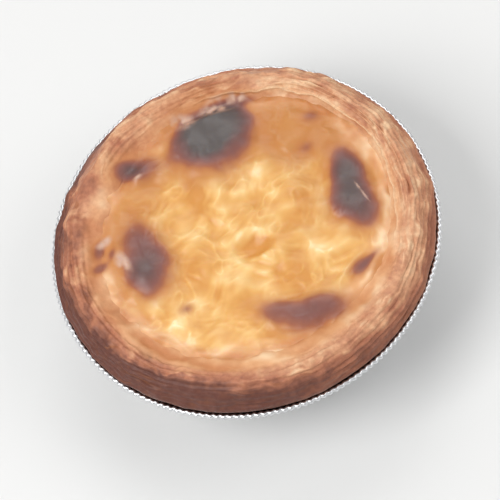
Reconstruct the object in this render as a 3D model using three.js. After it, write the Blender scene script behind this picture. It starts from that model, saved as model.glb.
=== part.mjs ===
// A Portuguese custard tart in the crimped foil case that it is baked and sold in.
// A cup of laminated pastry stands proud of the foil, its layers showing as uneven ridges round the
// rim, and holds a custard whose skin has wrinkled, blistered and scorched.
// Millimetres, +Z up. The origin is the centre of the foil's flat base.
import * as THREE from "three";

const TAU = 2 * Math.PI;
const CLEARANCE = 0.35; // between one piece and the next

// The foil case.
const CASE_RIM_RADIUS = 38;
const CASE_BASE_RADIUS = 25.5;
const CASE_DEPTH = 20.5;
const FOIL_THICKNESS = 0.4;
const PLEATS = 180;
const PLEAT_DEPTH = 0.45; // at the rim; the pleats run out to nothing at the base
const BEAD_HEIGHT = 1.0; // the curled edge
const BEAD_PROUD = 0.3;
const BEAD_SECTION = { cheek: 0.5, lip: 0.3 }; // down from its top, shares of its height

// The pastry, seen in section from the foil's edge over the crest to the lip at the custard.
const OUTER_BULGE = { radius: 36.9, height: 21.6 };
const OUTER_SHOULDER = { radius: 36.0, height: 23.6 };
const UPPER_SHOULDER = { radius: 34.7, height: 25.6 };
const CREST = { radius: 33.2, height: 26.8 };
const INNER_SHOULDER = { radius: 30.7, height: 26.2 };
const LIP = { radius: 27.9, height: 24.8 };
const FOOT_IN = 0.2; // the pastry's foot, in and down from the foil's edge
const PASTRY_FLOOR = 4.2;
const WALL_AT_FLOOR = 5.5;
const PASTRY_SEGMENTS = 120;
const LAYERS = 10; // ridges of laminated dough that show across the rim
const LAYERS_FROM = 0.13; // shares of the way along the section
const LAYERS_TO = 0.95;
const SMOOTH_FOOT = 0.07;
const LAYER_RELIEF = 0.45;
const CRACK_DEPTH = 0.7; // of a ridge's height
const FREE_OF_FOIL = 0.3; // share of the section below which the foil holds the wall true
const NEAR_LIP = 0.6; // share of the section above which it follows the lip
const LIP_STEADINESS = 0.6; // how much less the lip rises and falls than the crest

// The custard.
const CUSTARD_EDGE_HEIGHT = 24.6;
const CUSTARD_GAP = 1.3 * CLEARANCE; // level, as the wall beside it slants
const CUSTARD_CROWN = 0.8; // how far the middle stands above the edge
const CUSTARD_SEGMENTS = 84;
const CUSTARD_RINGS = 14;

// Slow waves round the tart, each a count of swells, their size and where the first one stands.
const CREST_RISE = [[1, 0.8, 4.6], [2, 0.3, 1.9], [3, 0.26, 0.4], [5, 0.2, 4.0], [9, 0.13, 1.2]];
const OUTLINE_SPREAD = [[1, 0.6, 4.7], [3, 0.16, 2.4], [7, 0.13, 0.9], [11, 0.08, 3.3]];
const LIP_WANDER = [[1, 1.0, 0.06], [2, 0.75, 0.91], [5, 0.16, 2.6], [8, 0.12, 0.3], [13, 0.08, 4.1]];
const LAYER_DRIFT = [[1, 0.75, 0.8], [2, 0.35, 3.9], [5, 0.22, 1.7]]; // in layers, so they look wound
const DRIFT_SHARE = 0.9;

// Swells that differ from layer to layer, so that ridges start, merge and end: the least count, how
// many counts the layers run through, the size, and the turn from one layer to the next.
const LAYER_SWELLS = [[3, 3, 0.24, 1.7], [8, 4, 0.15, 2.9]];
const LAYER_FADE = [[4, 3, 0.4, 2.3]];
const LAYER_STRENGTH = 0.85;

// Blisters and hollows in the custard's skin: place, half length, half width, the turn of the long
// axis from +X in degrees, and how far the skin rises there.
const BLISTERS = [
  { x: 0.9, y: 20.4, long: 10.0, wide: 8.6, turn: 5, rise: 1.5 },
  { x: 22.2, y: -0.6, long: 9.4, wide: 5.6, turn: 84, rise: 1.3 },
  { x: -18.8, y: 0.6, long: 8.6, wide: 6.2, turn: 100, rise: 1.3 },
  { x: 6.0, y: -22.0, long: 8.8, wide: 4.6, turn: -14, rise: 1.0 },
  { x: -15.2, y: 20.4, long: 5.4, wide: 4.4, turn: 0, rise: 0.8 },
  { x: 17.0, y: 14.8, long: 9.0, wide: 6.4, turn: 130, rise: 0.5 },
  { x: 0.6, y: -4.7, long: 5.0, wide: 3.9, turn: 0, rise: -0.6 },
];
// Folds of the skin as it sank back from the oven: millimetres from one to the next, the heading they
// are counted along in degrees, their height and where they start.
const FOLDS = [
  { pitch: 11.5, heading: 25, height: 0.3, start: 0.7 },
  { pitch: 7.6, heading: 115, height: 0.22, start: 2.2 },
  { pitch: 5.2, heading: 70, height: 0.13, start: 4.4 },
];

const waves = (angle, terms) =>
  terms.reduce((sum, [count, size, turn]) => sum + size * Math.cos(count * angle - turn), 0);
const radians = (degrees) => (degrees * Math.PI) / 180;
const share = (value, from, to) => THREE.MathUtils.clamp((value - from) / (to - from), 0, 1);

// A closed solid turned about +Z whose rings may each be uneven. A ring is a function that gives its
// radius and height at an angle and a step round the tart; the first and last lie on the axis.
function turned(rings, segments) {
  const profile = rings.map((ring) => new THREE.Vector2(...ring(0, 0)));
  const geometry = new THREE.LatheGeometry(profile, segments);
  const position = geometry.getAttribute("position");
  for (let i = 0; i < position.count; i++) {
    const step = Math.floor(i / rings.length) % segments;
    const angle = (step * TAU) / segments;
    const [radius, height] = rings[i % rings.length](angle, step);
    position.setXYZ(i, radius * Math.cos(angle), radius * Math.sin(angle), height);
  }
  geometry.computeVertexNormals();
  return geometry;
}

function foilCase() {
  const edge = CASE_RIM_RADIUS - PLEAT_DEPTH / 2;
  const wallTop = edge - BEAD_PROUD;
  // Out and in by turns, two steps to a pleat, deeper towards the rim.
  const pleated = (radius, height) => (angle, step) => {
    const depth = (PLEAT_DEPTH / 2) * share(height, FOIL_THICKNESS, CASE_DEPTH - BEAD_HEIGHT);
    return [radius + (step % 2 ? -depth : depth), height];
  };
  const rings = [
    () => [0, 0],
    pleated(CASE_BASE_RADIUS, 0),
    pleated(wallTop, CASE_DEPTH - BEAD_HEIGHT),
    pleated(edge, CASE_DEPTH - BEAD_SECTION.cheek * BEAD_HEIGHT),
    pleated(wallTop - FOIL_THICKNESS / 2, CASE_DEPTH),
    pleated(wallTop - FOIL_THICKNESS, CASE_DEPTH - BEAD_SECTION.lip * BEAD_HEIGHT),
    pleated(CASE_BASE_RADIUS - FOIL_THICKNESS, FOIL_THICKNESS),
    () => [0, FOIL_THICKNESS],
  ];
  return turned(rings, 2 * PLEATS);
}

const lipRadius = (angle) => LIP.radius + waves(angle, LIP_WANDER);

// The rim's section as a smooth curve, from where the pastry leaves the foil to the custard's edge.
const foilExit = {
  radius: CASE_RIM_RADIUS - PLEAT_DEPTH - BEAD_PROUD - FOIL_THICKNESS - CLEARANCE - FOOT_IN,
  height: CASE_DEPTH - FOOT_IN,
};
const rimSection = new THREE.SplineCurve(
  [foilExit, OUTER_BULGE, OUTER_SHOULDER, UPPER_SHOULDER, CREST, INNER_SHOULDER, LIP].map(
    (at) => new THREE.Vector2(at.radius, at.height),
  ),
);

// One ring of the rim at a share of the way along its section, pushed out square to the surface.
function rimRing(along, relief) {
  return (angle) => {
    const t = THREE.MathUtils.clamp(along(angle), 0, 1);
    const at = rimSection.getPointAt(t);
    const heading = rimSection.getTangentAt(t);
    const push = relief(angle, t);
    const free = share(t, 0, FREE_OF_FOIL);
    const lipShare = share(t, NEAR_LIP, 1);
    const radius =
      at.x + heading.y * push + free * waves(angle, OUTLINE_SPREAD) +
      lipShare * (waves(angle, LIP_WANDER) - waves(angle, OUTLINE_SPREAD));
    const rise = free * (1 - LIP_STEADINESS * lipShare) * waves(angle, CREST_RISE);
    return [radius, at.y - heading.x * push + rise];
  };
}

// The top of one ridge of dough, or the bottom of the crack after it: even rows rise, odd rows sink.
function layerRing(row) {
  const layer = Math.floor(row / 2);
  const spacing = (LAYERS_TO - LAYERS_FROM) / (2 * LAYERS);
  const middle = LAYERS_FROM + (row + 0.5) * spacing;
  const hemmed = DRIFT_SHARE * (1 - Math.abs(2 * middle - 1)); // no drift at the edges
  const own = (table) =>
    table.map(([least, kinds, size, turn]) => [least + (layer % kinds), size, turn * layer]);
  const swells = own(LAYER_SWELLS);
  const fade = own(LAYER_FADE);
  const height = LAYER_RELIEF * (row % 2 ? -CRACK_DEPTH : 1);
  return rimRing(
    (angle) => middle + spacing * (hemmed * waves(angle, LAYER_DRIFT) + waves(angle, swells)),
    (angle) => height * (LAYER_STRENGTH + waves(angle, fade)),
  );
}

const pastryFoot = CASE_BASE_RADIUS - FOIL_THICKNESS - CLEARANCE;
const floorRadius = pastryFoot - WALL_AT_FLOOR;

function pastryShell() {
  const rings = [
    () => [0, FOIL_THICKNESS + CLEARANCE],
    () => [pastryFoot, FOIL_THICKNESS + CLEARANCE],
    rimRing(() => 0, () => 0),
    rimRing(() => SMOOTH_FOOT, () => 0),
    ...Array.from({ length: 2 * LAYERS }, (_, row) => layerRing(row)),
    (angle) => [lipRadius(angle), LIP.height],
    () => [floorRadius, PASTRY_FLOOR],
    () => [0, PASTRY_FLOOR],
  ];
  return turned(rings, PASTRY_SEGMENTS);
}

// How far the custard's skin stands above its edge at a place on the tart.
function skinHeight(x, y, reach) {
  const crown = CUSTARD_CROWN * (1 - reach * reach);
  const folds = FOLDS.reduce((sum, { pitch, heading, height, start }) => {
    const across = x * Math.cos(radians(heading)) + y * Math.sin(radians(heading));
    return sum + height * Math.sin((TAU * across) / pitch + start);
  }, 0);
  const blisters = BLISTERS.reduce((sum, { x: bx, y: by, long, wide, turn, rise }) => {
    const c = Math.cos(radians(turn));
    const s = Math.sin(radians(turn));
    const lengthwise = ((x - bx) * c + (y - by) * s) / long;
    const crosswise = ((y - by) * c - (x - bx) * s) / wide;
    const inside = Math.max(0, 1 - lengthwise ** 2 - crosswise ** 2);
    return sum + rise * inside * inside * (3 - 2 * inside);
  }, 0);
  return crown + folds * (1 - reach ** 4) + blisters;
}

function custardFilling() {
  const edge = (angle) => lipRadius(angle) - CUSTARD_GAP;
  const skinRings = [];
  for (let ring = CUSTARD_RINGS; ring >= 0; ring--) {
    const reach = ring / CUSTARD_RINGS;
    skinRings.push((angle) => {
      const radius = reach * edge(angle);
      const lift = skinHeight(radius * Math.cos(angle), radius * Math.sin(angle), reach);
      return [radius, CUSTARD_EDGE_HEIGHT + lift];
    });
  }
  const rings = [
    () => [0, PASTRY_FLOOR + CLEARANCE],
    () => [floorRadius - CLEARANCE, PASTRY_FLOOR + CLEARANCE],
    ...skinRings,
  ];
  return turned(rings, CUSTARD_SEGMENTS);
}

const pieces = [
  ["foil_case", foilCase(), { color: 0xc9cbcd, roughness: 0.3, metalness: 1 }],
  ["pastry_shell", pastryShell(), { color: 0xc58345, roughness: 0.65, metalness: 0 }],
  ["custard_filling", custardFilling(), { color: 0xe0a040, roughness: 0.35, metalness: 0 }],
];

const tart = new THREE.Group();
for (const [name, geometry, finish] of pieces) {
  const mesh = new THREE.Mesh(geometry, new THREE.MeshStandardMaterial(finish));
  mesh.name = name;
  tart.add(mesh);
}

export default tart;
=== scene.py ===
"""A Portuguese custard tart in its pleated foil case, on a pale table.

The file follows the tart as it is put together: the foil case, the cup of laminated pastry pressed
into it, and the custard that is poured in and baked until its skin blisters and scorches.
"""

import math

import bpy
import numpy as np
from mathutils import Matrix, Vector, noise


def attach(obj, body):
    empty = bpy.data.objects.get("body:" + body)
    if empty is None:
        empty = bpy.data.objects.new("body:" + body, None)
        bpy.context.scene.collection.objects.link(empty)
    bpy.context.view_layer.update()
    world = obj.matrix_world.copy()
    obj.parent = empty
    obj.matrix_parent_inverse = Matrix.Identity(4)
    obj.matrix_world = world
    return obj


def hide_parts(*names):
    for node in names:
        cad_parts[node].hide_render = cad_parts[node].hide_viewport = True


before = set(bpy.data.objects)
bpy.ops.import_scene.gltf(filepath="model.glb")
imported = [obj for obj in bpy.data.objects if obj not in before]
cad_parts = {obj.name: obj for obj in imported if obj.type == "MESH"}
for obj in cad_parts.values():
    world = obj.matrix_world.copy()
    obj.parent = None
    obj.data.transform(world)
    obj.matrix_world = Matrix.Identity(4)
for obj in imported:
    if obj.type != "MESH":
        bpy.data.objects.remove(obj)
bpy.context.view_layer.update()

# The viewpoint: from the front and well above, the camera leaning to one side, and far enough off that
# the round rim stays an even ellipse.
MM = 0.001
TAU = 2 * math.pi
CAMERA_ELEVATION = math.radians(60.7)
CAMERA_LEAN = math.radians(-22)
CAMERA_DISTANCE = 1.2
PICTURE_WIDTH = 96 * MM  # across the tart
AIM = Vector((0, 0, 16 * MM))  # in the tart's middle

bpy.ops.object.camera_add(
    location=AIM + CAMERA_DISTANCE * Vector((0, -math.cos(CAMERA_ELEVATION), math.sin(CAMERA_ELEVATION)))
)
camera = bpy.context.object
camera.rotation_mode = "ZYX"
camera.rotation_euler = (math.pi / 2 - CAMERA_ELEVATION, 0, CAMERA_LEAN)
camera.data.lens = camera.data.sensor_width * CAMERA_DISTANCE / PICTURE_WIDTH
bpy.context.scene.camera = camera
bpy.context.scene.view_settings.view_transform = "Standard"


# The light: a broad soft window from the upper left, a weaker one from the right and a soft one behind,
# in an even pale room.
ROOM_BRIGHTNESS = 0.5


def add_softbox(name, azimuth, elevation, distance, size, power):
    """A square soft light that faces the tart from an azimuth, 0 being behind the camera."""
    turn = math.radians(azimuth)
    rise = math.radians(elevation)
    out = Vector((math.sin(turn) * math.cos(rise), -math.cos(turn) * math.cos(rise), math.sin(rise)))
    bpy.ops.object.light_add(type="AREA", location=AIM + distance * out)
    light = bpy.context.object
    light.name = name
    light.data.size = size
    light.data.energy = power
    light.rotation_euler = (-out).to_track_quat("-Z", "Y").to_euler()


add_softbox("key_light", azimuth=-70, elevation=52, distance=0.75, size=0.45, power=3.5)
add_softbox("fill_light", azimuth=70, elevation=45, distance=0.8, size=0.5, power=1.5)
add_softbox("back_light", azimuth=165, elevation=50, distance=0.8, size=0.5, power=1.5)

room = bpy.data.worlds.new("pale_room")
room.use_nodes = True
room.node_tree.nodes["Background"].inputs["Color"].default_value = (1, 1, 1, 1)
room.node_tree.nodes["Background"].inputs["Strength"].default_value = ROOM_BRIGHTNESS
bpy.context.scene.world = room


# The table: one plain pale surface.
TABLE_SIZE = 4
TABLE_GAP = 0.2 * MM  # under the foil's base


def srgb(red, green, blue):
    """The colour with these values out of 255, as the shaders take it."""
    linear = [
        value / 255 / 12.92 if value <= 10 else ((value / 255 + 0.055) / 1.055) ** 2.4
        for value in (red, green, blue)
    ]
    return (*linear, 1)


def new_material(name):
    """A material, its node tree and its shader."""
    material = bpy.data.materials.new(name)
    material.use_nodes = True
    return material, material.node_tree, material.node_tree.nodes["Principled BSDF"]


bpy.ops.mesh.primitive_plane_add(size=TABLE_SIZE, location=(0, 0, -TABLE_GAP))
table = bpy.context.object
table.name = "table"
table_paint, _, shader = new_material("table_paint")
shader.inputs["Base Color"].default_value = srgb(224, 224, 223)
shader.inputs["Roughness"].default_value = 0.6
table.data.materials.append(table_paint)

# The foil case: thin aluminium pressed into a cup, its wall gathered in fine pleats that run out at the
# flat base, and its top edge curled over outwards into a bead.
CASE_RIM_RADIUS = 38 * MM
CASE_BASE_RADIUS = 25.5 * MM
CASE_DEPTH = 20.5 * MM
FOIL_THICKNESS = 0.12 * MM
PLEATS = 180
PLEAT_DEPTH = 0.45 * MM
BEAD = 0.35 * MM  # its radius
BEAD_SWEEP = 1.5 * math.pi
BEAD_ROWS = 8
WALL_ROWS = 5
STEPS_PER_PLEAT = 6
NOISE_SHIFT = (13.7, 5.1, 9.3)  # from one noise to the next


def share(value, start, end):
    """How far a value is from start to end, held between 0 and 1."""
    return np.clip((value - start) / (end - start), 0, 1)


def smooth(value, start, end):
    """The same with a soft start and end."""
    part = share(value, start, end)
    return part * part * (3 - 2 * part)


def noise_at(points, size, seed=0):
    """Smooth noise from about -1 to 1 at each point, with lumps about that size."""
    shift = seed * np.array(NOISE_SHIFT)
    return np.array([noise.noise(point) for point in (points / size + shift).tolist()])


def vertex_positions(obj):
    """The places of a mesh's vertices as an array of rows."""
    places = np.empty(len(obj.data.vertices) * 3)
    obj.data.vertices.foreach_get("co", places)
    return places.reshape(-1, 3)


def add_node(tree, kind, inputs=None, **settings):
    """A shader node with its settings, each input given a value or the output that feeds it."""
    node = tree.nodes.new("ShaderNode" + kind)
    for name, value in settings.items():
        setattr(node, name, value)
    for name, value in (inputs or {}).items():
        if isinstance(value, bpy.types.NodeSocket):
            tree.links.new(value, node.inputs[name])
        else:
            node.inputs[name].default_value = value
    return node


case_edge = CASE_RIM_RADIUS - PLEAT_DEPTH / 2 - 2 * BEAD
bpy.ops.mesh.primitive_circle_add(
    vertices=STEPS_PER_PLEAT * PLEATS, radius=CASE_BASE_RADIUS, fill_type="NGON"
)
foil = bpy.context.object
foil.name = "foil_case"
bpy.ops.object.mode_set(mode="EDIT")
bpy.ops.mesh.select_mode(type="EDGE")
wall = [(CASE_BASE_RADIUS, 0)]
for row in range(1, WALL_ROWS + 1):
    up = row / WALL_ROWS
    wall.append((
        CASE_BASE_RADIUS + up * (case_edge - CASE_BASE_RADIUS),
        up * (CASE_DEPTH - BEAD),
    ))
for row in range(1, BEAD_ROWS + 1):
    sweep = math.pi - row * BEAD_SWEEP / BEAD_ROWS
    wall.append((
        case_edge + BEAD + BEAD * math.cos(sweep),
        CASE_DEPTH - BEAD + BEAD * math.sin(sweep),
    ))
for (radius, height), (next_radius, next_height) in zip(wall, wall[1:]):
    bpy.ops.mesh.extrude_edges_move(TRANSFORM_OT_translate={"value": (0, 0, next_height - height)})
    widening = next_radius / radius
    bpy.ops.transform.resize(value=(widening, widening, 1), center_override=(0, 0, next_height))
bpy.ops.object.mode_set(mode="OBJECT")

places = vertex_positions(foil)
angle = np.arctan2(places[:, 1], places[:, 0])
radius = np.hypot(places[:, 0], places[:, 1])
around = np.stack([np.cos(angle), np.sin(angle), places[:, 2] / CASE_DEPTH], axis=1)
unevenness = noise_at(around, 0.08, seed=1)
lean = noise_at(around, 0.3, seed=2)
depth = PLEAT_DEPTH / 2 * share(places[:, 2], 0, CASE_DEPTH - 2 * BEAD) * (1 + 0.5 * unevenness)
depth *= 1 - 0.45 * share(places[:, 2], CASE_DEPTH - 2 * BEAD, CASE_DEPTH)
radius += np.where(places[:, 2] > 0, depth * np.cos(PLEATS * angle + 0.9 * lean), 0)
places[:, 0] = radius * np.cos(angle)
places[:, 1] = radius * np.sin(angle)
foil.data.vertices.foreach_set("co", places.ravel())
foil.data.update()

thickness = foil.modifiers.new("thickness", "SOLIDIFY")
thickness.thickness = FOIL_THICKNESS
thickness.offset = 1
bpy.ops.object.modifier_apply(modifier="thickness")
bpy.ops.object.shade_smooth_by_angle(angle=math.radians(50))

bright_foil, tree, shader = new_material("bright_foil")
shader.inputs["Base Color"].default_value = srgb(226, 227, 229)
shader.inputs["Metallic"].default_value = 1
shader.inputs["Roughness"].default_value = 0.32
grain = add_node(tree, "TexCoord")
crinkle = add_node(tree, "TexNoise", {"Vector": grain.outputs["Object"], "Scale": 900, "Detail": 3})
crinkled = add_node(tree, "Bump", {"Height": crinkle.outputs["Fac"], "Strength": 0.25, "Distance": 0.1 * MM})
tree.links.new(crinkled.outputs["Normal"], shader.inputs["Normal"])
foil.data.materials.append(bright_foil)
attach(foil, "root")
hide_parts("foil_case")

# The pastry: a thin disc of dough cut across a roll and pressed up the wall of the case. The cut edges
# of its many buttery layers show round the rim as thin wandering ridges with cracks between; the shade
# in the cracks is painted dark and the ridges carry painted highlights. It is baked dark on the flank that
# stands out over the foil.
RIM_SECTION = [  # radius and height from the foil's edge over the crest to the custard
    (36.5, 20.1),
    (37.1, 21.5),
    (36.0, 23.6),
    (34.7, 25.6),
    (33.2, 26.8),
    (30.7, 26.2),
    (27.9, 24.8),
]
PASTRY_FOOT = (25.2, 0.2)
PASTRY_INSIDE = (27.1, 23)  # just under the lip
PASTRY_FLOOR = (19.25, 4.2)
OFF_SURFACE = -1  # for the parts of a section that carry no relief
LIP_RADIUS = 27.9 * MM
LAYERS = 10
PLAIN_STRIP = 0.07  # above the foil's edge
LAYERS_FROM = 0.13
LAYERS_TO = 0.95
LAYER_RELIEF = 0.45 * MM
CRACK_DEPTH = 0.7
CREST_RISE = [(1, 0.8, 4.6), (2, 0.3, 1.9), (3, 0.26, 0.4), (5, 0.2, 4.0), (9, 0.13, 1.2)]
OUTLINE_SPREAD = [(1, 0.6, 4.7), (3, 0.16, 2.4), (7, 0.13, 0.9), (11, 0.08, 3.3)]
LIP_WANDER = [(1, 1.0, 0.06), (2, 0.75, 0.91), (5, 0.16, 2.6), (8, 0.12, 0.3), (13, 0.08, 4.1)]
LAYER_DRIFT = [(1, 0.75, 0.8), (2, 0.35, 3.9), (5, 0.22, 1.7)]
DRIFT_SHARE = 0.9
LAYER_SWELLS = [(3, 3, 0.24, 1.7), (8, 4, 0.15, 2.9)]
LAYER_FADE = [(4, 3, 0.4, 2.3)]
LAYER_STRENGTH = 0.85
SIDE_TOAST = [(1, 0.18, 3.3), (2, 0.07, 0.9), (3, 0.05, 4.7)]  # how much browner one side is than the other
LUMPS_AROUND = 11  # mm round a lip of 29, so they are drawn out along it
TOAST = [  # the pastry's colours, from pale to dark baked
    (0, srgb(240, 202, 163)),
    (0.3, srgb(219, 164, 126)),
    (0.6, srgb(185, 122, 93)),
    (1, srgb(110, 66, 55)),
]
SPECKLE = [  # laid over them, finely mixed
    (0.3, srgb(150, 110, 80)),
    (0.7, srgb(255, 250, 240)),
]
# painted shade in the cracks between the layers
CRACK_SHADE = srgb(150, 92, 56)
BROWNED = srgb(184, 117, 64)  # the skin round a scorch
BURNT = [  # from a scorch's edge to its middle
    (0, srgb(190, 121, 64)),
    (0.25, srgb(159, 94, 63)),
    (0.5, srgb(129, 80, 71)),
    (0.8, srgb(104, 75, 72)),
    (1, srgb(87, 80, 78)),
]
PALE_CRUMB = srgb(200, 163, 142)
BAKED_ON = [  # the colours of the custard that baked on to the lip, from its hollows to its lumps
    (0, srgb(200, 133, 85)),
    (0.5, srgb(225, 170, 122)),
    (1, srgb(244, 214, 174)),
]
LIP_TONE = [(0, 0.36, 0), (1, 0.16, 6.1)]  # paler on one side
LIP_EDGE_TURN = math.radians(30)  # where the innermost layer stands up bare beside the custard
DARK_REACH = [(0, 0.34, 0), (1, 0.16, 4.0)]  # share of the section that is baked dark
DARK_STRENGTH = [(0, 0.46, 0), (1, 0.14, 3.8)]
GLAZE_SPREAD = [(1, 0.05, 3.9)]
GLAZE_STRENGTH = [(0, 0.6, 0), (1, 0.28, 4.4)]
RIM_RADIUS = 34  # mm, where a place on the rim is measured round
RIM_LENGTH = 15  # mm across the rim
LIP_STEADINESS = 0.6  # how much less the lip rises and falls than the crest
SCORCHES = [  # place, half length, half width, turn, strength, share that is darkest
    (1.2, 21.1, 7.4, 6.5, 0, 1.0, 0.5),
    (5.6, 24.4, 4.0, 3.6, 0, 0.9, 0.3),
    (22.8, 3.2, 5.4, 3.1, 82, 0.84, 0.15),
    (22.6, 0.2, 4.4, 3.4, 90, 0.6, 0.3),
    (22.0, -3.8, 5.2, 3.9, 100, 0.84, 0.25),
    (-19.8, -1.0, 5.0, 4.3, 90, 0.82, 0.15),
    (-19.0, 4.4, 6.6, 4.0, 95, 0.55, 0),
    (10.0, 26.4, 3.6, 1.3, -20, 0.35, 0),
    (0.6, -19.8, 4.4, 2.5, -24, 0.36, 0),
    (5.4, -22.7, 6.0, 3.9, -16, 0.56, 0),
    (10.6, -22.6, 4.6, 3.0, -30, 0.42, 0),
    (-15.3, 20.8, 2.8, 2.2, -20, 0.72, 0.1),
    (-14.0, 20.4, 5.0, 3.4, -10, 0.5, 0),
    (18.4, -17.2, 2.4, 1.5, 20, 0.5, 0),
    (20.6, -16.4, 2.4, 0.8, 25, 0.4, 0),
    (20.6, 17.1, 2.3, 1.8, 0, 0.3, 0),
    (17.4, 11.2, 2.3, 1.7, 0, 0.28, 0),
    (-15.2, -11.8, 1.6, 1.2, 0, 0.26, 0),
    (-26.8, 7.2, 2.4, 1.3, 60, 0.45, 0),
    (-27.8, 3.4, 2.0, 1.1, 20, 0.4, 0),
    (-24.8, 5.4, 1.6, 1.0, 60, 0.35, 0),
]
CRUSTS = [  # pale crumbs baked on beside the pastry: place, half length, half width, turn
    (-3.2, 26.9, 3.4, 2.1, -15),
    (4.6, 27.5, 4.5, 2.2, 5),
    (8.6, 27.6, 2.2, 1.0, -30),
    (-23.4, 2.4, 3.0, 1.5, 100),
    (-25.4, 8.4, 2.2, 1.0, 20),
    (-14.6, 18.7, 1.7, 0.7, 10),
    (23.9, -2.6, 2.8, 0.24, 104),
]
RIM_ROWS = 132
PASTRY_STEPS = 640


def waves(angle, terms):
    """The sum of slow swells round the tart, each a count, a size and a turn."""
    return sum(size * np.cos(count * angle - turn) for count, size, turn in terms)


def own_terms(layer, terms):
    """A layer's own swells."""
    return [(least + layer % kinds, size, turn * layer) for least, kinds, size, turn in terms]


def spun(name, section, steps):
    """A closed piece turned about the upright axis from its section, which runs from axis to axis."""
    bpy.ops.mesh.primitive_circle_add(vertices=len(section), radius=1)
    piece = bpy.context.object
    piece.name = name
    along = piece.data.attributes.new("along", "FLOAT", "POINT")
    for vertex, value, (radius, height, place) in zip(piece.data.vertices, along.data, section):
        vertex.co = (radius, 0, height)
        value.value = place
    bpy.ops.object.mode_set(mode="EDIT")
    bpy.ops.mesh.select_all(action="SELECT")
    bpy.ops.mesh.spin(steps=steps, angle=TAU, center=(0, 0, 0), axis=(0, 0, 1))
    bpy.ops.mesh.select_all(action="SELECT")
    bpy.ops.mesh.remove_doubles(threshold=0.0005 * MM)
    bpy.ops.mesh.normals_make_consistent(inside=False)
    bpy.ops.object.mode_set(mode="OBJECT")
    return piece


def point_values(piece, name):
    """The values of a piece's named attribute."""
    values = np.empty(len(piece.data.vertices))
    piece.data.attributes[name].data.foreach_get("value", values)
    return values


def set_point_values(piece, name, values):
    """Stores a value at each of a piece's vertices under that name."""
    attribute = piece.data.attributes.new(name, "FLOAT", "POINT")
    attribute.data.foreach_set("value", values.astype(np.float32))


def edge_lumps(angle, radius):
    """The long lumps of custard baked on round the lip, from about -1 to 1; the radius is in mm."""
    around = LUMPS_AROUND * np.stack([np.cos(angle), np.sin(angle)])
    return noise_at(np.column_stack([*around, radius]), 2.3, seed=26)


def lip_lumps(angle, along):
    """How far the lumps stand up on the lip in mm, where the custard ran over it."""
    place = np.column_stack([RIM_RADIUS * np.cos(angle), RIM_RADIUS * np.sin(angle), RIM_LENGTH * along])
    return 0.25 * noise_at(place, 3.2, seed=8) + 0.12 * noise_at(place, 1.7, seed=14)


def ellipse_distance(x, y, spot):
    """How far out from a spot's middle each place is, 1 being its edge."""
    spot_x, spot_y, long, wide, turn = spot[:5]
    c = math.cos(math.radians(turn))
    s = math.sin(math.radians(turn))
    lengthwise = ((x - spot_x) * c + (y - spot_y) * s) / long
    crosswise = ((y - spot_y) * c - (x - spot_x) * s) / wide
    return np.hypot(lengthwise, crosswise)


def burns_at(x, y):
    """How far each place in mm is scorched, how far browned, and how thick with pale crumbs."""
    spots = np.column_stack([x, y, np.zeros_like(x)])
    edge_noise = noise_at(spots, 4.5, seed=11)
    fine_noise = noise_at(spots, 1.4, seed=12)
    unburnt = np.ones_like(x)
    halo = np.zeros_like(x)
    for spot in SCORCHES:
        strength, darkest = spot[5:]
        nearness = ellipse_distance(x, y, spot) + 0.2 * edge_noise + 0.04 * fine_noise
        unburnt *= 1 - strength * (1 - smooth(nearness, darkest, 1.45))
        halo = np.maximum(halo, strength * (1 - smooth(nearness, 0.8, 2.1)))
    crust = np.zeros_like(x)
    for spot in CRUSTS:
        nearness = ellipse_distance(x, y, spot) + 0.35 * edge_noise
        crust = np.maximum(crust, 1 - smooth(nearness, 0.3, 1.2))
    crust *= smooth(noise_at(spots, 1.5, seed=25) + 0.4 * noise_at(spots, 0.8, seed=31), -0.65, 0.3)
    return 1 - unburnt, halo, crust


def curve_through(points, pieces_each=40):
    """Places along a smooth curve through the points, with how far along it each one is."""
    points = np.array(points) * MM
    padded = np.vstack([points[0], points, points[-1]])
    t = np.linspace(0, 1, pieces_each, endpoint=False)[:, None]
    spans = []
    for a, b, c, d in zip(padded, padded[1:], padded[2:], padded[3:]):
        from_b = (c - a) / 2
        to_c = (d - b) / 2
        spans.append(
            (2 * b - 2 * c + from_b + to_c) * t**3 + (-3 * b + 3 * c - 2 * from_b - to_c) * t**2
            + from_b * t + b
        )
    curve = np.vstack([*spans, points[-1]])
    length = np.concatenate([[0], np.cumsum(np.linalg.norm(np.diff(curve, axis=0), axis=1))])
    return curve, length / length[-1]


rim_curve, rim_share = curve_through(RIM_SECTION)
rim_section = [
    (np.interp(at, rim_share, rim_curve[:, 0]), np.interp(at, rim_share, rim_curve[:, 1]), at)
    for at in np.linspace(0, 1, RIM_ROWS)
]
pastry_section = [
    (0, PASTRY_FOOT[1] * MM, OFF_SURFACE),
    (PASTRY_FOOT[0] * MM, PASTRY_FOOT[1] * MM, OFF_SURFACE),
    *rim_section,
    (PASTRY_INSIDE[0] * MM, PASTRY_INSIDE[1] * MM, OFF_SURFACE),
    (PASTRY_FLOOR[0] * MM, PASTRY_FLOOR[1] * MM, OFF_SURFACE),
    (0, PASTRY_FLOOR[1] * MM, OFF_SURFACE),
]
pastry = spun("pastry_shell", pastry_section, PASTRY_STEPS)
places = vertex_positions(pastry)
along = point_values(pastry, "along")
on_rim = along >= 0
angle = np.arctan2(places[on_rim, 1], places[on_rim, 0])
radius = np.hypot(places[on_rim, 0], places[on_rim, 1])
along = along[on_rim]
ring = np.stack([np.cos(angle), np.sin(angle)], axis=1)

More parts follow.
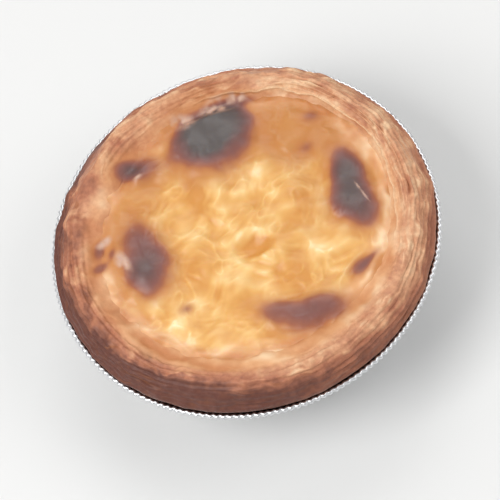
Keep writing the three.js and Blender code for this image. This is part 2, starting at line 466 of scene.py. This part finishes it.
# Where the ridges and cracks run: even rows are ridges, odd rows the cracks between.
spacing = (LAYERS_TO - LAYERS_FROM) / (2 * LAYERS)
row_places = [np.full_like(angle, PLAIN_STRIP)]
row_heights = [np.zeros_like(angle)]
for row in range(2 * LAYERS):
    layer = row // 2
    middle = LAYERS_FROM + (row + 0.5) * spacing
    hemmed = DRIFT_SHARE * (1 - abs(2 * middle - 1))
    drift = hemmed * waves(angle, LAYER_DRIFT) + waves(angle, own_terms(layer, LAYER_SWELLS))
    strength = LAYER_STRENGTH + waves(angle, own_terms(layer, LAYER_FADE))
    row_places.append(middle + spacing * drift)
    row_heights.append(LAYER_RELIEF * strength * (-CRACK_DEPTH if row % 2 else 1))
row_places.append(np.ones_like(angle))
row_heights.append(np.zeros_like(angle))
row_places = np.array(row_places)
row_heights = np.array(row_heights)
below = np.clip((row_places <= along).sum(axis=0) - 1, 0, len(row_places) - 2)
columns = np.arange(len(along))
part = share(along, row_places[below, columns], row_places[below + 1, columns])
layer_place = below + part  # odd at a ridge's top, even at the bottom of a crack
blend = part * part * (3 - 2 * part)
main_relief = row_heights[below, columns] * (1 - blend) + row_heights[below + 1, columns] * blend

# The thin layers within the ridges: each has its own height, browning and cracks, which change slowly
# along it, so that flakes stand out here and there.
THIN_PER_ROW = [(0, 0.6, 0), (1, 0.16, -0.6)]  # fewer and broader ones at the back
FLAKY_SIDE = [(2, 0.25, 0)]
LAYER_JUMP = 3.7  # between one layer's noise and the next
around_rim = RIM_RADIUS * ring
rim_place = np.column_stack([around_rim, RIM_LENGTH * along])
around_rim_place = np.column_stack([around_rim, np.zeros_like(along)])


def layer_value(index, length, seed):
    """Noise along each thin layer, with its own pattern and lumps about that long."""
    return noise_at(np.column_stack([around_rim / length, index * LAYER_JUMP]), 1, seed)


flaky = smooth(noise_at(rim_place, 9, seed=10) + waves(angle, FLAKY_SIDE), -0.45, 0.35)
thin_layer = (
    waves(angle, THIN_PER_ROW) * layer_place
    + 2.2 * noise_at(rim_place, 11, seed=3)
    + 1.9 * noise_at(rim_place, 4.8, seed=4)
    + 0.5 * noise_at(rim_place, 2, seed=13)
)
index = np.floor(thin_layer)
part = thin_layer - index
layer_height = layer_value(index, 4.5, seed=5)
next_height = layer_value(index + 1, 4.5, seed=5)
layer_height += smooth(part, 0.7, 1) * (next_height - layer_height)
thin_crack = smooth(layer_value(index, 3.4, seed=6), 0.1, 0.55) * np.exp(-(((part - 0.85) / 0.15) ** 2))
crack_nearness = np.where(layer_place > 0.5, 1 - np.abs((layer_place - 1) % 2 - 1), 0)
wide_crack = share(layer_value(np.round(layer_place / 2), 8, seed=7), 0, 0.6) * crack_nearness**3
lumps = noise_at(rim_place, 3.2, seed=8)
bubbles = noise_at(rim_place, 1.7, seed=14)
crumbs = noise_at(rim_place, 0.9, seed=9)
glaze = smooth(along + 0.04 * lumps + waves(angle, GLAZE_SPREAD), 0.68, 0.86)
baked_on = edge_lumps(angle, radius / MM)
plain = 1 - glaze
free = share(along, 0.02, 0.2)
boldness = plain * (0.08 + 0.4 * flaky)
relief = boldness * main_relief + free * MM * (
    plain * (0.3 + 0.7 * flaky) * (0.27 * layer_height - 0.17 * thin_crack - 0.2 * wide_crack)
    + (1 - 0.5 * glaze) * (0.5 * lumps + 0.24 * bubbles + 0.06 * crumbs)
)
lip_place = 0.86 + 0.08 * noise_at(around_rim_place, 7, seed=27) + 0.02 * bubbles
lip_edge = np.exp(-(((along - lip_place) / 0.022) ** 2)) * smooth(np.cos(angle - LIP_EDGE_TURN), 0.4, 0.75)
relief += MM * (0.4 * glaze * baked_on + 0.5 * lip_edge)
tangent = np.gradient(rim_curve, axis=0)
tangent /= np.linalg.norm(tangent, axis=1)[:, None]
heading_out = np.interp(along, rim_share, tangent[:, 0])
heading_up = np.interp(along, rim_share, tangent[:, 1])
lip_share = share(along, 0.6, 1)
held = share(along, 0, 0.3)
spread = MM * waves(angle, OUTLINE_SPREAD)
wander = MM * waves(angle, LIP_WANDER)
radius = (
    np.interp(along, rim_share, rim_curve[:, 0])
    + heading_up * relief
    + held * spread
    + lip_share * (wander - spread)
)
height = (
    np.interp(along, rim_share, rim_curve[:, 1])
    - heading_out * relief
    + held * (1 - LIP_STEADINESS * lip_share) * MM * waves(angle, CREST_RISE)
)
places[on_rim] = np.column_stack([radius * ring[:, 0], radius * ring[:, 1], height])
pastry.data.vertices.foreach_set("co", places.ravel())
pastry.data.update()

# The browning, 0 being pale and 1 dark: most on the flank. Where a flake or a lump stands up it is paler,
# a painted highlight; the dark in the cracks, kept apart, is painted shade.
rim_crack_shade = (0.35 + 0.65 * flaky) * plain * (0.65 * thin_crack + 0.6 * wide_crack)
# Painted highlights along the top edges of the thin layers and on the tops of the lumps.
painted_ridge_highlight = np.exp(-(((part - 0.55) / 0.22) ** 2)) * smooth(layer_height, -0.1, 0.5)
painted_ridge_highlight *= 0.4 + 0.6 * flaky
painted_ridge_highlight += 0.4 * smooth(lumps + 0.5 * bubbles, 0, 0.7)
dark_reach = waves(angle, DARK_REACH)
dark_edge = along + 0.04 * lumps + 0.05 * layer_value(index, 8, seed=12)
flank = 1 - share(dark_edge, dark_reach - 0.18, dark_reach + 0.18)
flank = flank * flank * (3 - 2 * flank)
rim_toast = 0.45 + waves(angle, SIDE_TOAST) + flank * waves(angle, DARK_STRENGTH)
rim_toast += (1 - 0.65 * flank) * (
    0.28 * noise_at(rim_place, 6, seed=11)
    + 0.14 * noise_at(rim_place, 2.3, seed=15)
    + (0.12 + 0.18 * flaky) * layer_value(index, 6, seed=12)
    - 0.26 * painted_ridge_highlight * (1 + bubbles)
    + 0.14 * crumbs
    - 0.55 * lip_edge
)
scorch, halo, crust = burns_at(radius * ring[:, 0] / MM, radius * ring[:, 1] / MM)
pastry_values = [
    ("scorch", scorch, 0),
    ("halo", halo, 0),
    ("crust", crust, 0),
    # the painted shade in the cracks
    ("crack", rim_crack_shade - 0.2 * crumbs - 0.1 * bubbles, 0),
    ("toast", rim_toast, 0.7),
    ("glaze", (1 - 0.7 * lip_edge) * glaze * waves(angle, GLAZE_STRENGTH), 0),
    ("baked_on", waves(angle, LIP_TONE) + 0.7 * baked_on + 0.2 * bubbles, 0),
]
for name, values, elsewhere in pastry_values:
    everywhere = np.full(len(places), float(elsewhere))
    everywhere[on_rim] = np.clip(values, 0, 1)
    set_point_values(pastry, name, everywhere)
bpy.ops.object.shade_smooth()


def colour_ramp(tree, amount, stops):
    """A ramp of colours over an amount from 0 to 1."""
    ramp = add_node(tree, "ValToRGB", {"Fac": amount})
    elements = ramp.color_ramp.elements
    while len(elements) < len(stops):
        elements.new(0.5)
    for element, (place, colour) in zip(elements, stops):
        element.position = place
        element.color = colour
    return ramp.outputs["Color"]


def burnt_over(tree, colour):
    """The colour browned, scorched and crusted as far as the piece's attributes say."""
    values = {
        name: add_node(tree, "Attribute", attribute_name=name).outputs["Fac"]
        for name in ("halo", "scorch", "crust")
    }
    browned = add_node(tree, "MixRGB", {
        "Fac": values["halo"], "Color1": colour, "Color2": BROWNED,
    })
    burn = colour_ramp(tree, values["scorch"], BURNT)
    amount = add_node(tree, "MapRange", {"Value": values["scorch"], "From Min": 0, "From Max": 0.3})
    scorched = add_node(tree, "MixRGB", {
        "Fac": amount.outputs["Result"], "Color1": browned.outputs["Color"], "Color2": burn,
    })
    crusted = add_node(tree, "MixRGB", {
        "Fac": values["crust"], "Color1": scorched.outputs["Color"], "Color2": PALE_CRUMB,
    })
    return crusted.outputs["Color"]


baked_dough, tree, shader = new_material("baked_dough")
toast_value = add_node(tree, "Attribute", attribute_name="toast").outputs["Fac"]
crack_shade_value = add_node(tree, "Attribute", attribute_name="crack").outputs["Fac"]
place = add_node(tree, "TexCoord").outputs["Object"]
speckle = add_node(tree, "TexNoise", {"Vector": place, "Scale": 1400, "Detail": 4})
speckled = add_node(tree, "MixRGB", {
    "Fac": 0.35,
    "Color1": colour_ramp(tree, toast_value, TOAST),
    "Color2": colour_ramp(tree, speckle.outputs["Fac"], SPECKLE),
}, blend_type="MULTIPLY")
# Painted shade darkens the cracks between the layers.
shaded_cracks = add_node(tree, "MixRGB", {
    "Fac": crack_shade_value, "Color1": speckled.outputs["Color"], "Color2": CRACK_SHADE,
})
glazed = add_node(tree, "MixRGB", {
    "Fac": add_node(tree, "Attribute", attribute_name="glaze").outputs["Fac"],
    "Color1": shaded_cracks.outputs["Color"],
    "Color2": colour_ramp(
        tree, add_node(tree, "Attribute", attribute_name="baked_on").outputs["Fac"], BAKED_ON
    ),
})
tree.links.new(burnt_over(tree, glazed.outputs["Color"]), shader.inputs["Base Color"])
shader.inputs["Roughness"].default_value = 0.5
shader.inputs["Specular IOR Level"].default_value = 0.35
roughened = add_node(tree, "Bump", {"Height": speckle.outputs["Fac"], "Strength": 0.5, "Distance": 0.12 * MM})
tree.links.new(roughened.outputs["Normal"], shader.inputs["Normal"])
pastry.data.materials.append(baked_dough)
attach(pastry, "root")
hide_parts("pastry_shell")

# The custard: eggs, cream and sugar baked in a fierce oven. Its skin puffs up, scorches where it
# touches the heat, and sinks back in soft folds as it cools.
CUSTARD_FOOT = (18.5, 5)  # radius and height of its flat underside
CUSTARD_EDGE_HEIGHT = 24.6 * MM
CUSTARD_CROWN = 0.8 * MM
CUSTARD_OVERLAP = 1.3 * MM  # how far it reaches into the pastry's lip
CUSTARD_RINGS = 120
CUSTARD_STEPS = 420
BLISTERS = [  # place, half length, half width and turn of the long axis, rise; in mm and degrees
    (0.9, 20.4, 10.0, 8.6, 5, 1.5),
    (22.2, -0.6, 9.4, 5.6, 84, 1.3),
    (-18.8, 0.6, 8.6, 6.2, 100, 1.3),
    (6.0, -22.0, 8.8, 4.6, -14, 1.0),
    (-15.2, 20.4, 5.4, 4.4, 0, 0.8),
    (17.0, 14.8, 9.0, 6.4, 130, 0.5),
    (0.6, -4.7, 5.0, 3.9, 0, -0.6),
]
FOLDS = [(11.5, 25, 0.3, 0.7), (7.6, 115, 0.22, 2.2), (5.2, 70, 0.13, 4.4)]
TONES = [  # where the skin is paler or, below 0, a deeper yellow: place, half length, half width, turn
    (15.8, -1.0, 3.0, 1.8, 95, 0.35),
    (-17.6, -18.0, 4.6, 1.8, 150, 0.35),
    (5.0, 8.6, 5.0, 1.5, 20, 0.3),
    (-9.5, 10.5, 6.5, 4.6, -10, -0.5),
    (-4.0, -5.0, 5.0, 3.0, 0, -0.2),
    (17.6, -9.6, 4.2, 1.5, 60, 0.3),
    (-25.5, -8.0, 3.8, 1.5, 105, 0.3),
    (12.5, 2.0, 6.5, 4.0, 80, -0.35),
    (-5.0, -15.5, 5.2, 2.6, -30, -0.3),
    (5.5, -13.2, 5.4, 2.4, -20, -0.25),
    (-15.0, -16.4, 1.8, 1.4, 0, -0.5),
]
CARAMEL = [  # where the sugar browned evenly: place, half length, half width, turn, strength
    (16.5, 15.5, 12, 8.5, 130, 0.85),
    (-14.8, 15.8, 7.5, 4.6, 40, 0.5),
    (-23.5, 7.0, 7.5, 3.6, 75, 0.6),
    (14.0, 0.0, 9.0, 3.6, 85, 0.3),
]
DIMPLE = (0.4, -4.6, 3.6, 2.8, 0)
HOLLOW = (1.6, -5.0, 2.4, 1.7, 0)
YELLOWS = [  # the skin's colours, from its hollows to its folds
    (0, srgb(206, 142, 68)),
    (0.35, srgb(222, 168, 95)),
    (0.7, srgb(235, 194, 128)),
    (1, srgb(247, 223, 174)),
]
CARAMEL_BROWN = srgb(186, 119, 58)

custard_reach = LIP_RADIUS + CUSTARD_OVERLAP
custard_section = [
    (0, CUSTARD_FOOT[1] * MM, OFF_SURFACE),
    (CUSTARD_FOOT[0] * MM, CUSTARD_FOOT[1] * MM, OFF_SURFACE),
]
for reach in np.linspace(1, 0, CUSTARD_RINGS):
    custard_section.append((reach * custard_reach, CUSTARD_EDGE_HEIGHT, reach))
custard = spun("custard_filling", custard_section, CUSTARD_STEPS)
places = vertex_positions(custard)
reach = point_values(custard, "along")
on_skin = reach >= 0
reach = reach[on_skin]
angle = np.arctan2(places[on_skin, 1], places[on_skin, 0])
radius = reach * (custard_reach + MM * waves(angle, LIP_WANDER))
x = radius * np.cos(angle) / MM
y = radius * np.sin(angle) / MM
spots = np.column_stack([x, y, np.zeros_like(x)])
lift = CUSTARD_CROWN / MM * (1 - reach**2)
for pitch, heading, fold_height, start in FOLDS:
    across = x * math.cos(math.radians(heading)) + y * math.sin(math.radians(heading))
    lift += fold_height * np.sin(TAU * across / pitch + start) * (1 - reach**4)
for blister in BLISTERS:
    inside = np.clip(1 - ellipse_distance(x, y, blister) ** 2, 0, 1)
    lift += blister[5] * inside * inside * (3 - 2 * inside)

scorch, halo, crust = burns_at(x, y)
edge_noise = noise_at(spots, 4.5, seed=11)
fine_noise = noise_at(spots, 1.4, seed=12)

# The folds wind about in the middle and follow the rim further out.
warp_x = x + 3.2 * noise_at(spots, 8, seed=13)
warp_y = y + 3.2 * noise_at(spots, 8, seed=14)
turned_place = np.column_stack([warp_x, warp_y, 0.35 * radius / MM])
ridge = np.clip(1 - 1.9 * np.abs(noise_at(turned_place, 6.2, seed=15)), 0, 1) ** 1.8
ridge *= smooth(noise_at(spots, 6.5, seed=16), -0.35, 0.3)
soft = noise_at(spots, 3, seed=18)
from_lip = radius - MM * waves(angle, LIP_WANDER)
baked_on = edge_lumps(angle, from_lip / MM)
streaks = []
for heading in (-20, 55):
    c = math.cos(math.radians(heading))
    s = math.sin(math.radians(heading))
    drawn = np.column_stack([
        (c * warp_x + s * warp_y) / 2.2,
        c * warp_y - s * warp_x,
        np.zeros_like(x),
    ])
    streaks.append(0.6 * noise_at(drawn, 1.5, seed=17) + 0.4 * noise_at(drawn, 0.8, seed=20))
which = smooth(noise_at(spots, 5, seed=21), -0.2, 0.2)
streak = streaks[0] * which + streaks[1] * (1 - which)
warped = np.column_stack([warp_x, warp_y, 0.5 * radius / MM])
# Fine crinkles in the skin; the paleness they give the skin's colour below is a painted highlight along their
# ridges.
crinkle = np.clip(1 - 2.4 * np.abs(noise_at(warped, 2.6, seed=28)), 0, 1) ** 2
crinkle *= smooth(noise_at(spots, 4, seed=29), -0.25, 0.25)
flecks = smooth(noise_at(spots, 1.9, seed=22), 0, 0.5) * smooth(noise_at(spots, 7, seed=23), -0.1, 0.3)
flecks *= smooth(reach, 0.45, 0.8)
calm = 1 - 0.75 * scorch
lift += calm * (0.36 * ridge + 0.14 * crinkle + 0.1 * streak + 0.24 * soft + 0.1 * flecks)
lift += scorch * (0.08 * noise_at(spots, 2.4, seed=19) + 0.05 * fine_noise + 0.08 * crinkle)
lift += crust * (0.2 + 0.25 * fine_noise)
from_dimple = ellipse_distance(x, y, DIMPLE)
dimple_ring = np.exp(-(((from_dimple - 1.1) / 0.36) ** 2)) * (1 + 0.6 * fine_noise)
dimple_hollow = np.exp(-((ellipse_distance(x, y, HOLLOW) + 0.2 * fine_noise) ** 2))
lift += 0.2 * dimple_ring - 0.35 * dimple_hollow
height = CUSTARD_EDGE_HEIGHT + lift * MM

# Round the edge it ran out over the pastry's lip in a film that thins to nothing unevenly.
inner_slope = rim_curve[::-1][: len(rim_curve) // 4]
inner_share = rim_share[::-1][: len(rim_share) // 4]
lip_along = np.interp(from_lip, inner_slope[:, 0], inner_share)
lip_height = np.interp(from_lip, inner_slope[:, 0], inner_slope[:, 1]) + MM * (
    (1 - LIP_STEADINESS) * waves(angle, CREST_RISE) + lip_lumps(angle, lip_along) + 0.4 * baked_on
)
over_lip = share(reach, LIP_RADIUS / custard_reach, 1)
film = 0.1 + 0.35 * noise_at(spots, 2.6, seed=30) + 0.1 * fine_noise - 0.5 * over_lip
on_lip = smooth(reach, 0.86, LIP_RADIUS / custard_reach)
height += on_lip * (lip_height + MM * film - height)
places[on_skin] = np.column_stack([x * MM, y * MM, height])
custard.data.vertices.foreach_set("co", places.ravel())
custard.data.update()

# The skin's colours, held at each point as shares from 0 to 1.
caramel = np.zeros_like(x)
for patch in CARAMEL:
    nearness = ellipse_distance(x, y, patch) + 0.25 * edge_noise
    caramel = np.maximum(caramel, patch[5] * (1 - smooth(nearness, 0.5, 1.4)))
edge_brown = 0.8 * smooth(reach + 0.06 * edge_noise, 0.91, 0.98) * smooth(edge_noise, -0.1, 0.4)
by_rim = smooth(reach + 0.05 * edge_noise + 0.03 * fine_noise, 0.8, 0.96)
# The fold tone; its crinkle share is a painted highlight along the crinkles' ridges.
fold = (
    0.28
    + 0.32 * ridge
    + 0.26 * crinkle
    + 0.32 * streak
    + 0.32 * soft
    + 0.35 * noise_at(spots, 8, seed=24)
    + 0.4 * flecks
    + 0.36 * dimple_ring
    - 0.75 * dimple_hollow
)
for tone in TONES:
    nearness = ellipse_distance(x, y, tone) + 0.35 * edge_noise + 0.15 * fine_noise
    fold += tone[5] * (1 - smooth(nearness, 0.2, 1.6))
skin_values = {
    "scorch": scorch,
    "crust": crust,
    "fold": fold,
    "by_rim": by_rim,
    # the crinkle share here is a painted highlight
    "baked_on": waves(angle, LIP_TONE) + 0.7 * baked_on + 0.2 * fine_noise + 0.2 * crinkle,
    "caramel": np.maximum(caramel, edge_brown),
    "halo": halo,
}
for name, values in skin_values.items():
    everywhere = np.zeros(len(places))
    everywhere[on_skin] = np.clip(values, 0, 1)
    set_point_values(custard, name, everywhere)
bpy.ops.object.shade_smooth()

set_custard, tree, shader = new_material("set_custard")
fold_value = add_node(tree, "Attribute", attribute_name="fold").outputs["Fac"]
caramel_value = add_node(tree, "Attribute", attribute_name="caramel").outputs["Fac"]
place = add_node(tree, "TexCoord").outputs["Object"]
mottle = add_node(tree, "TexNoise", {"Vector": place, "Scale": 500, "Detail": 4})
lip_tone = add_node(tree, "Attribute", attribute_name="baked_on").outputs["Fac"]
edged = add_node(tree, "MixRGB", {
    "Fac": add_node(tree, "Attribute", attribute_name="by_rim").outputs["Fac"],
    "Color1": colour_ramp(tree, fold_value, YELLOWS),
    "Color2": colour_ramp(tree, lip_tone, BAKED_ON),
})
caramelised = add_node(tree, "MixRGB", {
    "Fac": caramel_value, "Color1": edged.outputs["Color"], "Color2": CARAMEL_BROWN,
})
tree.links.new(burnt_over(tree, caramelised.outputs["Color"]), shader.inputs["Base Color"])
shader.inputs["Roughness"].default_value = 0.38
shader.inputs["Subsurface Weight"].default_value = 0.15
shader.inputs["Subsurface Radius"].default_value = (1, 0.45, 0.15)
shader.inputs["Subsurface Scale"].default_value = 1.5 * MM
skin = add_node(tree, "Bump", {"Height": mottle.outputs["Fac"], "Strength": 0.3, "Distance": 0.15 * MM})
tree.links.new(skin.outputs["Normal"], shader.inputs["Normal"])
custard.data.materials.append(set_custard)
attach(custard, "root")
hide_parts("custard_filling")
